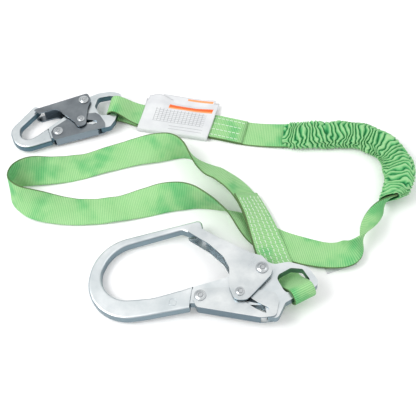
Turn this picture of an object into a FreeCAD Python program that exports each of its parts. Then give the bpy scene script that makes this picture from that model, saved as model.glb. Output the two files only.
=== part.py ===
"""Shock absorbing lanyard: a large rebar hook and a small snap hook on one stretch webbing leg.

Millimetres, +Z up, lying on the floor at z = 0, +X from the hooks towards the shock pack.
"""
import FreeCAD, Part
import math
import os

V = FreeCAD.Vector

# ---------------------------------------------------------------- driving sizes
SIZES = {
    # webbing
    "web_width": 33.0,
    "web_ply": 2.0,
    "ply_gap": 0.15,
    "stitch_width": 1.0,
    "stitch_rise": 0.35,
    # rebar hook
    "rebar_gate_wall": 1.8,
    "rebar_lever_wall": 1.4,
    "rebar_plate_depth": 9.0,
    "rebar_bow_step": 1.0,
    "rebar_gate_side_gap": 1.5,
    "rebar_wrap_play": 0.98,
    "rebar_throat_radius": 29.0,
    "rebar_bar_half": 4.0,
    "rebar_bar_clear": 27.2,
    "rebar_shaft_radius": 3.2,
    "rebar_pin_radius": 2.2,
    "rebar_edge_round": 2.4,
    # snap hook
    "snap_gate_wall": 1.6,
    "snap_lever_wall": 1.3,
    "snap_plate_depth": 8.0,
    "snap_bow_step": 0.8,
    "snap_gate_side_gap": 1.3,
    "snap_wrap_play": 1.22,
    "snap_throat_radius": 9.2,
    "snap_bar_half": 3.6,
    "snap_bar_clear": 27.2,
    "snap_shaft_radius": 2.8,
    "snap_pin_radius": 1.9,
    "snap_edge_round": 2.2,
    # fits
    "running_clearance": 0.06,
    "side_clearance": 0.3,
    "loop_side_play": 1.6,
    "gate_spring_wire": 0.9,
    "lock_spring_wire": 0.6,
    # shock pack
    "jacket_wall": 1.4,
    "jacket_width": 38.0,
    "jacket_height": 17.0,
    "core_clearance": 0.3,
    # label and tag
    "label_length": 73.0,
    "label_drop": 49.0,
    "label_sheet": 0.5,
    "tag_length": 30.0,
    "tag_sheet": 0.5,
}

# Sizes that follow from the others: each wraps what it holds, with a named clearance.
FOLLOWING = {
    "rebar_lever_depth": "rebar_plate_depth + 2 * (rebar_lever_wall + side_clearance)",
    "rebar_gate_depth": "rebar_lever_depth + 2 * (rebar_gate_wall + rebar_gate_side_gap)",
    "rebar_bow_depth": "rebar_plate_depth + 2 * rebar_bow_step",
    "snap_lever_depth": "snap_plate_depth + 2 * (snap_lever_wall + side_clearance)",
    "snap_gate_depth": "snap_lever_depth + 2 * (snap_gate_wall + snap_gate_side_gap)",
    "snap_bow_depth": "snap_plate_depth + 2 * snap_bow_step",
    "web_loop_width": "min(rebar_bar_clear; snap_bar_clear) - 2 * loop_side_play",
}

doc = FreeCAD.newDocument("shock_absorbing_lanyard")
sheet = doc.addObject("Spreadsheet::Sheet", "sizes")
cells = [(name, str(value)) for name, value in SIZES.items()]
cells += [(name, "=" + formula) for name, formula in FOLLOWING.items()]
for row, (name, content) in enumerate(cells, start=1):
    sheet.set("A%d" % row, name)
    sheet.set("B%d" % row, content)
    sheet.setAlias("B%d" % row, name)
doc.recompute()


def size(name):
    """One driving size, read from the sheet."""
    return float(getattr(sheet, name))


SUBPARTS = []
# Puts the origin under the middle of the hooks and the shock pack.
SHIFT = V(-3.27, -4.79, 0)


# ---------------------------------------------------------------- outlines
def rounded_edges(corners):
    """Lines and arcs of a closed outline: each corner is (x, y, radius)."""
    count = len(corners)
    trimmed = []
    for i in range(count):
        before = V(corners[i - 1][0], corners[i - 1][1], 0)
        here = V(corners[i][0], corners[i][1], 0)
        after = V(corners[(i + 1) % count][0], corners[(i + 1) % count][1], 0)
        back = (before - here).normalize()
        ahead = (after - here).normalize()
        half = back.getAngle(ahead) / 2
        radius = corners[i][2]
        if radius <= 0:
            trimmed.append((here, None, here))
            continue
        reach = radius / math.tan(half)
        middle = here + (back + ahead).normalize() * (radius / math.sin(half) - radius)
        trimmed.append((here + back * reach, middle, here + ahead * reach))
    edges = []
    for i in range(count):
        start, middle, end = trimmed[i]
        if middle is not None:
            edges.append(Part.ArcOfCircle(start, middle, end))
        following = trimmed[(i + 1) % count][0]
        if (following - end).Length > 1e-4:
            edges.append(Part.LineSegment(end, following))
    return edges


def turned(point, pivot, degrees):
    """A point turned about a pivot in the hook's own plane."""
    turn = math.radians(degrees)
    dx = point[0] - pivot[0]
    dy = point[1] - pivot[1]
    x = pivot[0] + dx * math.cos(turn) - dy * math.sin(turn)
    y = pivot[1] + dx * math.sin(turn) + dy * math.cos(turn)
    return (x, y)


# ---------------------------------------------------------------- bodies
def new_body(label, placement):
    body = doc.addObject("PartDesign::Body", label)
    body.Label = label
    body.Placement = placement
    SUBPARTS.append(body)
    return body


def new_sketch(body, name, edges, offset=0.0):
    """A sketch on the body's own XY plane."""
    plane = [o for o in body.Origin.OriginFeatures if o.Role == "XY_Plane"][0]
    sketch = body.newObject("Sketcher::SketchObject", name)
    sketch.AttachmentSupport = [(plane, "")]
    sketch.MapMode = "FlatFace"
    sketch.AttachmentOffset = FreeCAD.Placement(V(0, 0, offset), FreeCAD.Rotation())
    for edge in edges:
        sketch.addGeometry(edge, False)
    return sketch


def add_pad(body, name, edges, length):
    """A pad through the mid-plane; length is an expression of the sheet."""
    pad = body.newObject("PartDesign::Pad", name)
    pad.Profile = new_sketch(body, name + "_outline", edges)
    pad.SideType = "Symmetric"
    pad.setExpression("Length", length)
    doc.recompute()
    return pad


def add_pocket(body, name, edges, length):
    """A pocket through the mid-plane, which must take material away."""
    before = body.Shape.Volume
    pocket = body.newObject("PartDesign::Pocket", name)
    pocket.Profile = new_sketch(body, name + "_outline", edges)
    pocket.SideType = "Symmetric"
    pocket.setExpression("Length", length)
    doc.recompute()
    if body.Shape.Volume > before - 1e-3:
        raise RuntimeError("pocket %s cuts nothing" % name)
    return pocket


def circle(point, radius):
    return [Part.Circle(V(point[0], point[1], 0), V(0, 0, 1), radius)]


def banana(points, half):
    """A slot of one half-width along an arc through three points."""
    arc = Part.ArcOfCircle(*[V(p[0], p[1], 0) for p in points])
    middle = arc.Center
    inner = arc.Radius - half
    outer = arc.Radius + half
    rims = []
    for radius in (inner, outer):
        rim = [middle + (V(p[0], p[1], 0) - middle).normalize() * radius for p in points]
        rims.append(rim)
    ends = []
    for i, side in ((0, -1), (2, 1)):
        spoke = V(points[i][0], points[i][1], 0) - middle
        run = V(-spoke.y, spoke.x, 0).normalize()
        towards = V(points[1][0], points[1][1], 0) - V(points[i][0], points[i][1], 0)
        if run.dot(towards) > 0:
            run = run * -1
        ends.append(V(points[i][0], points[i][1], 0) + run * half)
    return [
        Part.ArcOfCircle(*rims[0]),
        Part.ArcOfCircle(rims[0][2], ends[1], rims[1][2]),
        Part.ArcOfCircle(*rims[1]),
        Part.ArcOfCircle(rims[0][0], ends[0], rims[1][0]),
    ]


def soften(body, radius_name, rim_height, end_x):
    """Round the upper and lower rims of a forged outline, all but its flat end at end_x."""
    names = []
    for index, edge in enumerate(body.Tip.Shape.Edges, start=1):
        box = edge.BoundBox
        flat = box.ZLength < 1e-4
        at_rim = abs(abs(box.ZMin) - rim_height) < 1e-3
        if flat and at_rim and box.XMin < end_x - 0.5:
            names.append("Edge%d" % index)
    base = body.Tip
    fillet = body.newObject("PartDesign::Fillet", body.Name + "_rim")
    fillet.Base = (base, names)
    fillet.setExpression("Radius", "sizes." + radius_name)
    doc.recompute()
    return fillet


def add_feature(label, shape, placement=None):
    """A sub-part whose shape is made directly."""
    feature = doc.addObject("Part::Feature", label)
    feature.Label = label
    feature.Shape = shape
    if placement is not None:
        feature.Placement = placement
    SUBPARTS.append(feature)
    return feature


# ---------------------------------------------------------------- hooks
def hook_placement(base, heading, tilt):
    """Hook frame: x towards the eye, raised at the eye end by tilt."""
    turn = FreeCAD.Rotation(V(0, 0, 1), heading)
    lean = FreeCAD.Rotation(V(0, 1, 0), -tilt)
    return FreeCAD.Placement(V(*base) + SHIFT, turn.multiply(lean))


def in_hook(where, x, y, z=0.0, turn=None):
    """The placement of something at a point of the hook's own frame."""
    return where.multiply(FreeCAD.Placement(V(x, y, z), turn or FreeCAD.Rotation()))


def rivet_shape(shaft, half_length, head_radius, head_height):
    """A shaft with a domed, rimmed head at both ends."""
    profile = [
        V(0, 0, -half_length - head_height),
        V(head_radius * 0.55, 0, -half_length - head_height * 0.82),
        V(head_radius * 0.8, 0, -half_length - head_height * 0.45),
        V(head_radius, 0, -half_length - head_height * 0.4),
        V(head_radius, 0, -half_length),
        V(shaft, 0, -half_length),
        V(shaft, 0, half_length),
        V(head_radius, 0, half_length),
        V(head_radius, 0, half_length + head_height * 0.4),
        V(head_radius * 0.8, 0, half_length + head_height * 0.45),
        V(head_radius * 0.55, 0, half_length + head_height * 0.82),
        V(0, 0, half_length + head_height),
    ]
    wire = Part.makePolygon(profile + [profile[0]])
    return Part.Face(wire).revolve(V(0, 0, 0), V(0, 0, 1), 360)


def coil_shape(radius, wire, turns, pitch):
    """A round-wire coil about its own Z axis, standing on z = 0."""
    helix = Part.makeHelix(pitch, pitch * turns, radius)
    start = Part.makeCircle(wire / 2, V(radius, 0, 0), V(0, 1, 0))
    return Part.Wire(helix.Edges).makePipeShell([Part.Wire(start)], True, True)


def make_hook(kind, spec):
    """The eight sub-parts of one hook, from its outlines."""
    where = spec["placement"]
    body = new_body(kind + "_hook_body", where)
    add_pad(body, kind + "_bow", rounded_edges(spec["bow"]), "sizes.%s_bow_depth" % kind)
    soften(body, kind + "_edge_round", size(kind + "_bow_depth") / 2, spec["bow_end"])
    add_pad(body, kind + "_plate", rounded_edges(spec["plate"]), "sizes.%s_plate_depth" % kind)
    add_pocket(body, kind + "_eye_hole", rounded_edges(spec["hole"]), "sizes.%s_plate_depth * 2" % kind)
    bore = size(kind + "_shaft_radius") + size("running_clearance")
    for name, point in (("gate_bore", spec["gate_pivot"]), ("lever_bore", spec["lever_pivot"])):
        add_pocket(body, kind + "_" + name, circle(point, bore), "sizes.%s_bow_depth * 2" % kind)
    add_pocket(body, kind + "_pin_way", banana(spec["pin_path"], size(kind + "_pin_radius") + 0.9),
               "sizes.%s_bow_depth * 2" % kind)

    gate = new_body(kind + "_hook_gate", where)
    add_pad(gate, kind + "_gate_block", rounded_edges(spec["gate"]), "sizes.%s_gate_depth" % kind)
    add_pocket(gate, kind + "_gate_channel", rounded_edges(spec["gate_channel"]),
               "sizes.{0}_gate_depth - 2 * sizes.{0}_gate_wall".format(kind))
    add_pocket(gate, kind + "_gate_nose_cut", rounded_edges(spec["nose_cut"]),
               "sizes.{0}_gate_depth - 2 * sizes.{0}_gate_wall".format(kind))
    add_pocket(gate, kind + "_gate_hole", circle(spec["gate_pivot"], size(kind + "_shaft_radius")),
               "sizes.%s_gate_depth * 2" % kind)
    add_pocket(gate, kind + "_pin_hole", circle(spec["gate_pin"], size(kind + "_pin_radius")),
               "sizes.%s_gate_depth * 2" % kind)

    lever = new_body(kind + "_lock_lever", where)
    add_pad(lever, kind + "_lever_block", rounded_edges(spec["lever"]), "sizes.%s_lever_depth" % kind)
    add_pocket(lever, kind + "_lever_channel", rounded_edges(spec["lever_channel"]),
               "sizes.{0}_lever_depth - 2 * sizes.{0}_lever_wall".format(kind))
    add_pocket(lever, kind + "_lever_hole", circle(spec["lever_pivot"], size(kind + "_shaft_radius")),
               "sizes.%s_lever_depth * 2" % kind)
    add_pocket(lever, kind + "_lever_slot", banana(spec["slot"], size(kind + "_pin_radius") + spec["slot_play"]),
               "sizes.%s_lever_depth * 2" % kind)

    gate_half = size(kind + "_gate_depth") / 2
    lever_half = size(kind + "_lever_depth") / 2
    shaft = size(kind + "_shaft_radius")
    pin = size(kind + "_pin_radius")
    add_feature(kind + "_gate_pivot_rivet", rivet_shape(shaft, gate_half, shaft * 2.0, 2.0),
                in_hook(where, *spec["gate_pivot"]))
    add_feature(kind + "_gate_slot_pin", rivet_shape(pin, gate_half, pin * 2.2, 1.2),
                in_hook(where, *spec["gate_pin"]))
    add_feature(kind + "_lock_pivot_rivet", rivet_shape(shaft, lever_half, shaft * 1.9, 1.5),
                in_hook(where, *spec["lever_pivot"]))
    wire = size("gate_spring_wire")
    above_body = size(kind + "_plate_depth") / 2 + wire / 2 + size("side_clearance")
    add_feature(kind + "_gate_spring", coil_shape(shaft + wire / 2 + 0.5, wire, 1.4, wire * 1.12),
                in_hook(where, *spec["gate_pivot"], above_body))
    (seat_x, seat_y), length = spec["lock_spring"]
    downwards = FreeCAD.Rotation(V(1, 0, 0), 90)
    add_feature(kind + "_lock_spring", coil_shape(1.9, size("lock_spring_wire"), 3, length / 3),
                in_hook(where, seat_x, seat_y, 0.0, downwards))


def eye_frame(middle, degrees):
    """Unit vectors along the eye's bar and outwards from it, and a point maker."""
    turn = math.radians(degrees)

    def at(along, out):
        x = middle[0] + along * math.cos(turn) + out * math.sin(turn)
        y = middle[1] + along * math.sin(turn) - out * math.cos(turn)
        return (x, y)
    return at


REBAR_GATE_PIVOT = (129.7, 14.9)
REBAR_PIN = (110.9, -13.3)
REBAR_LEVER_PIVOT = (72.5, -19.8)
REBAR_GATE_OPEN = 48.0
REBAR_LEVER_SHARE = 0.2
REBAR_BAR_MIDDLE = (169.5, -3.5)
REBAR_BAR_DEGREES = 36.0
REBAR_BASE = (-76.3, -85.1, size("rebar_bow_depth") / 2 + 3.0)
REBAR_HEADING = -7.6
REBAR_TILT = 4.0


def rebar_spec():
    throat = size("rebar_throat_radius")
    half = size("rebar_bar_half")
    bar = size("rebar_bar_clear") / 2
    eye = eye_frame(REBAR_BAR_MIDDLE, REBAR_BAR_DEGREES)
    arm = 6.3
    spine_in = [(97.6, 4.1, 20), (54.0, -14.7, 60), (26.0, -26.6, 40)]
    bow_in = [(-39.6, -39.2, throat - 1.0), (-23.9, 23.9, 38)]
    nose = [(43.0, 53.0, 7), (51.0, 50.4, 5), (65.5, 55.0, 5.5), (61.5, 67.9, 5)]
    bow_out = [(-41.5, 26.6, 48), (-41.5, -63.5, 41.5)]
    plate = [(56.0, -30.5, 0), (64.2, -28.4, 0), (136.0, -23.6, 3), (139.5, -34.5, 3), (149.5, -36.8, 5)]
    plate += [eye(-bar - arm, half) + (4,), eye(bar + arm, half) + (7,), eye(bar + arm - 0.5, -18.5) + (9,)]
    plate += [eye(6.0, -33.0) + (10,), (141.0, 22.5, 10), (131.0, 25.6, 8), (121.0, 20.6, 7)]
    plate += [(111.0, 8.2, 10), (97.6, 4.1, 20), (64.2, -10.5, 0), (64.0, -13.2, 0), (56.0, -17.5, 0)]
    bow = nose + bow_out + [(21.6, -47.3, 60), (64.0, -34.0, 2), (64.0, -9.9, 0)] + spine_in[1:] + bow_in
    hole = [eye(-bar, -half) + (3,), eye(bar, -half) + (3,), eye(bar, -19.0) + (3,)]
    hole += [eye(4.0, -26.0) + (6,), eye(-bar, -25.5) + (6,), eye(-bar - 1.0, -9.0) + (4,)]
    wall = size("rebar_gate_wall")
    gate = [(53.3, 60.0, 2), (48.0, 51.1, 3), (73.8, 37.2, 40), (90.0, 24.0, 14), (97.6, 12.0, 14)]
    gate += [(99.5, -8.5, 12), (107.0, -23.5, 8), (119.0, -21.5, 7), (139.0, 7.2, 5), (140.8, 16.0, 6)]
    gate += [(128.5, 28.2, 3), (117.0, 30.8, 20), (80.7, 46.1, 30)]
    channel = [(40.0, 62.0, 0), (30.0, 40.0, 0), (90.0, -30.0, 0), (160.0, -40.0, 0), (160.0, 10.0, 0)]
    channel += [(133.0, 30.0, 0), (127.6, 28.2 - wall * 1.05, 2), (116.4, 30.8 - wall * 1.05, 20)]
    channel += [(80.0, 46.1 - wall * 1.05, 30), (66.0, 53.3 - wall, 0), (57.0, 62.0, 0)]
    nose_cut = [(40.0, 70.0, 0), (40.0, 45.0, 0), (67.5, 40.0, 0), (67.5, 70.0, 0)]
    lever_wall = size("rebar_lever_wall")
    lever = [(64.8, -23.1, 4), (72.1, -12.2, 6), (99.0, -8.1, 30), (130.2, -8.2, 30), (145.0, -9.5, 4)]
    lever += [(149.6, -17.5, 8), (148.0, -34.5, 5), (134.0, -37.6, 10), (70.5, -32.5, 4)]
    channel_2 = [(50.0, 0.0, 0), (50.0, -31.0, 0), (71.0, -32.5 + lever_wall, 0)]
    channel_2 += [(133.5, -37.6 + lever_wall, 0), (134.5, -50.0, 0), (160.0, -50.0, 0), (160.0, 0.0, 0)]
    path = [turned(REBAR_PIN, REBAR_GATE_PIVOT, a) for a in (0.0, 24.0, 48.0)]
    way = [turned(REBAR_PIN, REBAR_GATE_PIVOT, a) for a in (-3.0, 24.0, 51.0)]
    slot = []
    for share, point in zip((0.0, 0.5, 1.0), path):
        slot.append(turned(point, REBAR_LEVER_PIVOT, -REBAR_LEVER_SHARE * REBAR_GATE_OPEN * share))
    return {
        "placement": hook_placement(REBAR_BASE, REBAR_HEADING, REBAR_TILT),
        "plate": plate, "bow": bow, "bow_end": 64.0, "hole": hole,
        "gate": gate, "gate_channel": channel, "nose_cut": nose_cut,
        "lever": lever, "lever_channel": channel_2,
        "gate_pivot": REBAR_GATE_PIVOT, "gate_pin": REBAR_PIN, "lever_pivot": REBAR_LEVER_PIVOT,
        "pin_path": way, "slot": slot, "slot_play": 1.1,
        "lock_spring": ((92.0, -26.9), 5.6),
    }


SNAP_GATE_PIVOT = (69.4, 18.2)
SNAP_PIN = (59.0, -7.1)
SNAP_LEVER_PIVOT = (30.7, -12.0)
SNAP_GATE_OPEN = 28.0
SNAP_LEVER_SHARE = 0.296
SNAP_BAR_MIDDLE = (101.5, -0.5)
SNAP_BAR_DEGREES = 60.0
SNAP_BASE = (-199.8, 93.0, size("snap_gate_depth") / 2 - 0.2)
SNAP_HEADING = 20.49
SNAP_TILT = 1.95


def snap_spec():
    throat = size("snap_throat_radius")
    half = size("snap_bar_half")
    bar = size("snap_bar_clear") / 2
    eye = eye_frame(SNAP_BAR_MIDDLE, SNAP_BAR_DEGREES)
    arm = 5.5
    spine_in = [(44.6, 7.2, 8), (30.0, 1.0, 20), (9.0, -7.4, 8)]
    bow_in = [(-12.5, -13.3, throat), (-7.85, 8.7, throat)]
    nose = [(21.3, 27.0, 3.8), (15.5, 34.6, 4.2)]
    bow_out = [(-19.8, 10.5, 15), (-19.6, -21.0, 19)]
    plate = [(15.0, -17.8, 0), (21.8, -17.6, 0), (74.0, -15.4, 2), (76.5, -24.6, 3), (87.0, -26.0, 5)]
    plate += [eye(-bar - arm, half) + (4,), eye(bar + arm, half) + (7,)]
    plate += [(102.0, 22.6, 8), (88.0, 25.0, 8), (76.0, 23.8, 7), (64.0, 23.4, 7), (57.5, 12.0, 8)]
    plate += [(44.6, 7.2, 8), (30.0, 1.0, 20), (21.8, -2.4, 0), (21.6, -5.2, 0), (15.0, -8.2, 0)]
    bow = nose + bow_out + [(21.6, -21.2, 2), (21.6, -2.2, 0), spine_in[2]] + bow_in
    hole = [eye(-bar, -half) + (2.5,), eye(bar, -half) + (2.5,), eye(bar, -10.5) + (3,)]
    hole += [(86.0, 18.5, 5), (78.8, 8.0, 5), (80.5, -6.0, 5)]
    wall = size("snap_gate_wall")
    gate = [(10.6, 25.8, 2), (17.0, 18.6, 2), (37.6, 18.0, 10), (43.5, 6.0, 8), (51.0, -8.0, 8), (53.0, -17.6, 5)]
    gate += [(62.6, -15.6, 5), (66.5, -4.0, 10), (71.0, 7.0, 10), (77.2, 16.0, 5), (76.2, 26.4, 3)]
    channel = [(0.0, 26.4 - wall, 0), (0.0, 0.0, 0), (40.0, -30.0, 0), (90.0, -30.0, 0), (90.0, 26.4 - wall, 0)]
    nose_cut = [(0.0, 40.0, 0), (0.0, 10.0, 0), (23.0, 10.0, 0), (23.0, 40.0, 0)]
    lever_wall = size("snap_lever_wall")
    lever = [(22.8, -10.4, 3), (27.0, -5.4, 4), (45.8, 1.4, 15), (68.6, 0.0, 12), (77.0, -2.0, 3)]
    lever += [(80.6, -7.1, 6), (83.0, -19.8, 6), (81.1, -25.6, 4), (23.0, -22.0, 3)]
    channel_2 = [(10.0, 10.0, 0), (10.0, -22.8 + lever_wall, 0), (72.6, -25.1 + lever_wall, 0)]
    channel_2 += [(73.0, -40.0, 0), (95.0, -40.0, 0), (95.0, 10.0, 0)]
    path = [turned(SNAP_PIN, SNAP_GATE_PIVOT, a) for a in (0.0, 14.0, 28.0)]
    way = [turned(SNAP_PIN, SNAP_GATE_PIVOT, a) for a in (-3.0, 14.0, 31.0)]
    slot = []
    for share, point in zip((0.0, 0.5, 1.0), path):
        slot.append(turned(point, SNAP_LEVER_PIVOT, -SNAP_LEVER_SHARE * SNAP_GATE_OPEN * share))
    return {
        "placement": hook_placement(SNAP_BASE, SNAP_HEADING, SNAP_TILT),
        "plate": plate, "bow": bow, "bow_end": 21.6, "hole": hole,
        "gate": gate, "gate_channel": channel, "nose_cut": nose_cut,
        "lever": lever, "lever_channel": channel_2,
        "gate_pivot": SNAP_GATE_PIVOT, "gate_pin": SNAP_PIN, "lever_pivot": SNAP_LEVER_PIVOT,
        "pin_path": way, "slot": slot, "slot_play": 0.9,
        "lock_spring": ((44.0, -17.1), 3.9),
    }


REBAR = rebar_spec()
SNAP = snap_spec()
make_hook("rebar", REBAR)
make_hook("snap", SNAP)


# ---------------------------------------------------------------- webbing
class Route:
    """A flat strap's middle line: straight runs joined by tangent arcs, with a roll and a width."""

    def __init__(self, points, step=8.0):
        spots = [V(p[0], p[1], p[2]) for p in points]
        pieces = []
        marks = [0.0]
        here = spots[0]
        run = 0.0
        self.radii = []
        for i in range(1, len(spots) - 1):
            back = spots[i - 1] - spots[i]
            ahead = spots[i + 1] - spots[i]
            half = back.getAngle(ahead) / 2
            reach = 0.45 * min(back.Length, ahead.Length)
            radius = reach * math.tan(half)
            self.radii.append(radius)
            back.normalize()
            ahead.normalize()
            start = spots[i] + back * reach
            end = spots[i] + ahead * reach
            middle = spots[i] + (back + ahead).normalize() * (radius / math.sin(half) - radius)
            pieces.append(("run", here, start))
            run += (start - here).Length
            arc = Part.ArcOfCircle(start, middle, end)
            pieces.append(("arc", arc, start, end))
            sweep = radius * (math.pi - 2 * half)
            marks.append(run + sweep / 2)
            run += sweep
            here = end
        pieces.append(("run", here, spots[-1]))
        run += (spots[-1] - here).Length
        marks.append(run)
        self.length = run
        self.marks = marks
        self.points = points
        self.stations = []
        self.collect(pieces, step)

    def collect(self, pieces, step):
        run = 0.0
        left = None
        for piece in pieces:
            if piece[0] == "run":
                span = piece[2] - piece[1]
                count = max(1, int(math.ceil(span.Length / step)))
                samples = [(piece[1] + span * (k / count), V(span).normalize()) for k in range(count)]
                lengths = [span.Length * k / count for k in range(count)]
                total = span.Length
            else:
                arc = piece[1]
                low, high = arc.FirstParameter, arc.LastParameter
                total = arc.length()
                turn = high - low
                count = max(2, int(math.ceil(math.degrees(turn) / 12.0)), int(math.ceil(total / step)))
                flip = (arc.value(low) - piece[2]).Length > (arc.value(high) - piece[2]).Length
                samples = []
                for k in range(count):
                    at = high - turn * k / count if flip else low + turn * k / count
                    tangent = arc.tangent(at)[0]
                    samples.append((arc.value(at), tangent * -1 if flip else tangent))
                lengths = [total * k / count for k in range(count)]
            for (spot, tangent), offset in zip(samples, lengths):
                left = self.add(spot, tangent, run + offset, left)
            run += total
        last = pieces[-1]
        self.add(last[2], (last[2] - last[1]).normalize(), run, left)

    def add(self, spot, tangent, run, left):
        level = V(0, 0, 1).cross(tangent)
        if level.Length > 0.35:
            level.normalize()
            if left is not None and level.dot(left) < 0:
                level = level * -1
        else:
            level = left - tangent * left.dot(tangent)
            level.normalize()
        roll, width = self.at(run)
        raised = tangent.cross(level)
        across = level * math.cos(math.radians(roll)) + raised * math.sin(math.radians(roll))
        self.stations.append((run, V(spot), across, across.cross(tangent) * -1, width))
        return level

    def at(self, run):
        """Roll and width at a length along the route."""
        for i in range(1, len(self.marks)):
            if run <= self.marks[i] or i == len(self.marks) - 1:
                span = max(self.marks[i] - self.marks[i - 1], 1e-6)
                share = min(1.0, max(0.0, (run - self.marks[i - 1]) / span))
                before = self.points[i - 1]
                after = self.points[i]
                return (before[3] + (after[3] - before[3]) * share, before[4] + (after[4] - before[4]) * share)
        return (0.0, 0.0)


def ruled(sections):
    """A closed solid through planar sections, with ruled sides."""
    return Part.makeLoft(sections, True, True)


def banded(rings):
    """A closed solid through rings of corners, each side cut into flat triangles."""
    faces = [flat_face(rings[0][::-1]), flat_face(rings[-1])]
    corners = len(rings[0])
    for near, far in zip(rings[:-1], rings[1:]):
        for i in range(corners):
            j = (i + 1) % corners
            faces.append(flat_face([near[i], near[j], far[j]]))
            faces.append(flat_face([near[i], far[j], far[i]]))
    solid = Part.Solid(Part.Shell(faces))
    if solid.Volume < 0:
        solid.reverse()
    return solid


def flat_face(points):
    return Part.Face(Part.makePolygon(points + [points[0]]))


def strip(route, thick, start=0.0, end=None, side=0.0, rise=0.0, width=None):
    """A flat band along part of a route, set off sideways and along the strap's own normal."""
    end = route.length if end is None else end
    sections = []
    for run, spot, across, normal, full in route.stations:
        if run < start - 1e-6 or run > end + 1e-6:
            continue
        half = (full if width is None else width) / 2
        middle = spot + across * side + normal * rise + SHIFT
        corners = []
        for a, b in ((-1, -1), (1, -1), (1, 1), (-1, 1)):
            corners.append(middle + across * (a * half) + normal * (b * thick / 2))
        sections.append(corners)
    return banded(sections)


def stadium(spot, across, normal, width, height):
    """A flat section with round ends."""
    flat = width / 2 - height / 2
    top = normal * (height / 2)
    tip = across * (width / 2)
    edge = across * flat
    here = spot + SHIFT
    return Part.Wire([
        Part.LineSegment(here - edge - top, here + edge - top).toShape(),
        Part.ArcOfCircle(here + edge - top, here + tip, here + edge + top).toShape(),
        Part.LineSegment(here + edge + top, here - edge + top).toShape(),
        Part.ArcOfCircle(here - edge + top, here - tip, here - edge - top).toShape(),
    ])


def tube(route, trim, start=0.0, end=None):
    """A filled tube along a jacket route; trim is taken off all round."""
    end = route.length if end is None else end
    sections = []
    for run, spot, across, normal, height in route.stations:
        if start - 1e-6 <= run <= end + 1e-6:
            sections.append(stadium(spot, across, normal, JACKET_WIDTH - 2 * trim, height - 2 * trim))
    return ruled(sections)


WEB = size("web_width")
PLY = size("web_ply")
LOOP = size("web_loop_width")
LAYER = PLY + size("ply_gap")
JACKET_WIDTH = size("jacket_width")
JACKET_HEIGHT = size("jacket_height")
OCTAGON = (-67.5, -112.5, -157.5, 157.5, 112.5, 67.5)


def bar_of(spec, middle, degrees):
    """The eye bar's middle and the plan direction in which the strap meets it."""
    spot = spec["placement"].multVec(V(middle[0], middle[1], 0)) - SHIFT
    along = spec["placement"].Rotation.multVec(V(math.cos(math.radians(degrees)), math.sin(math.radians(degrees)), 0))
    return spot, V(along.y, -along.x, 0).normalize()


def around_bar(spot, back, radius):
    """Corners of the strap's turn round a bar: under it, round the far side and over the top."""
    reach = radius / math.cos(math.radians(22.5))
    corners = []
    for angle in OCTAGON:
        turn = math.radians(angle)
        corners.append(spot + back * (reach * math.cos(turn)) + V(0, 0, reach * math.sin(turn)))
    return corners


def in_plane(spot, back, distance, height):
    point = spot + back * distance
    return (point.x, point.y, height)


# The long leg, from the shock pack's lower end to the stitched part at the rebar hook:
# x, y, z, roll of the strap about its line.
LONG_LEG = [
    (193.0, 5.0, 15.2, 50.0),
    (184.0, -6.0, 16.6, 64.0),
    (172.0, -20.0, 16.4, 62.0),
    (162.0, -37.0, 17.0, 72.0),
    (156.0, -53.0, 16.6, 64.0),
    (144.5, -62.5, 11.4, 34.0),
    (124.0, -62.0, 4.4, 8.0),
    (98.0, -54.0, 1.2, 0.0),
    (72.0, -45.0, 1.2, 0.0),
    (50.0, -32.0, 1.7, 2.0),
    (30.0, -19.5, 11.8, 40.0),
    (13.0, -9.5, 16.4, 70.0),
    (-3.0, -1.4, 17.6, 90.0),
    (-20.0, 5.5, 16.2, 114.0),
    (-43.6, 8.2, 9.8, 148.0),
    (-67.0, 3.8, 3.6, 172.0),
    (-98.0, -3.2, 1.2, 180.0),
    (-133.0, -7.2, 1.2, 180.0),
    (-161.0, -5.6, 4.6, 167.0),
    (-184.0, -3.0, 11.8, 139.0),
    (-203.0, 4.5, 16.8, 108.0),
    (-212.0, 17.0, 17.8, 90.0),
    (-207.0, 31.5, 17.0, 76.0),
    (-192.5, 40.5, 12.6, 46.0),
    (-172.0, 45.0, 5.2, 14.0),
    (-148.0, 50.0, 1.2, 0.0),
    (-115.5, 61.0, 1.2, 0.0),
    (-82.0, 71.0, 4.2, 10.0),
    (-57.4, 73.0, 10.4, 34.0),
    (-38.0, 71.5, 16.0, 66.0),
    (-26.0, 65.0, 17.8, 92.0),
    (-16.0, 54.5, 16.2, 118.0),
    (-2.0, 42.5, 13.4, 140.0),
    (14.0, 33.0, 12.4, 146.0),
    (28.0, 22.5, 12.4, 147.0),
]
# The stitched part, where the strap lies double, down to the turn towards the bar.
STITCHED = [
    (39.0, 8.5, 12.6, 148.0),
    (48.5, -11.0, 12.6, 150.0),
    (56.5, -33.0, 8.8, 162.0),
    (63.5, -53.0, 4.6, 174.0),
]
REBAR_THROAT = ((45.0, 2.6, 178.0, 33.0), (32.0, 2.9, 180.0, 30.0), (19.0, 7.0, 180.0, 25.5))


def turn_radius(kind):
    """The strap's middle line round a bar: the bar's corner, half the strap and some play."""
    corner = math.hypot(size(kind + "_bar_half"), size(kind + "_plate_depth") / 2)
    return corner + PLY / 2 + size(kind + "_wrap_play")


REBAR_TURN_RADIUS = turn_radius("rebar")
SNAP_TURN_RADIUS = turn_radius("snap")


def strap_normal(ahead, roll):
    """The upward normal of a rolled strap that runs along a direction."""
    run = V(ahead).normalize()
    level = V(0, 0, 1).cross(run).normalize()
    raised = run.cross(level)
    across = level * math.cos(math.radians(roll)) + raised * math.sin(math.radians(roll))
    normal = across.cross(run)
    return normal if normal.z > 0 else normal * -1


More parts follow.
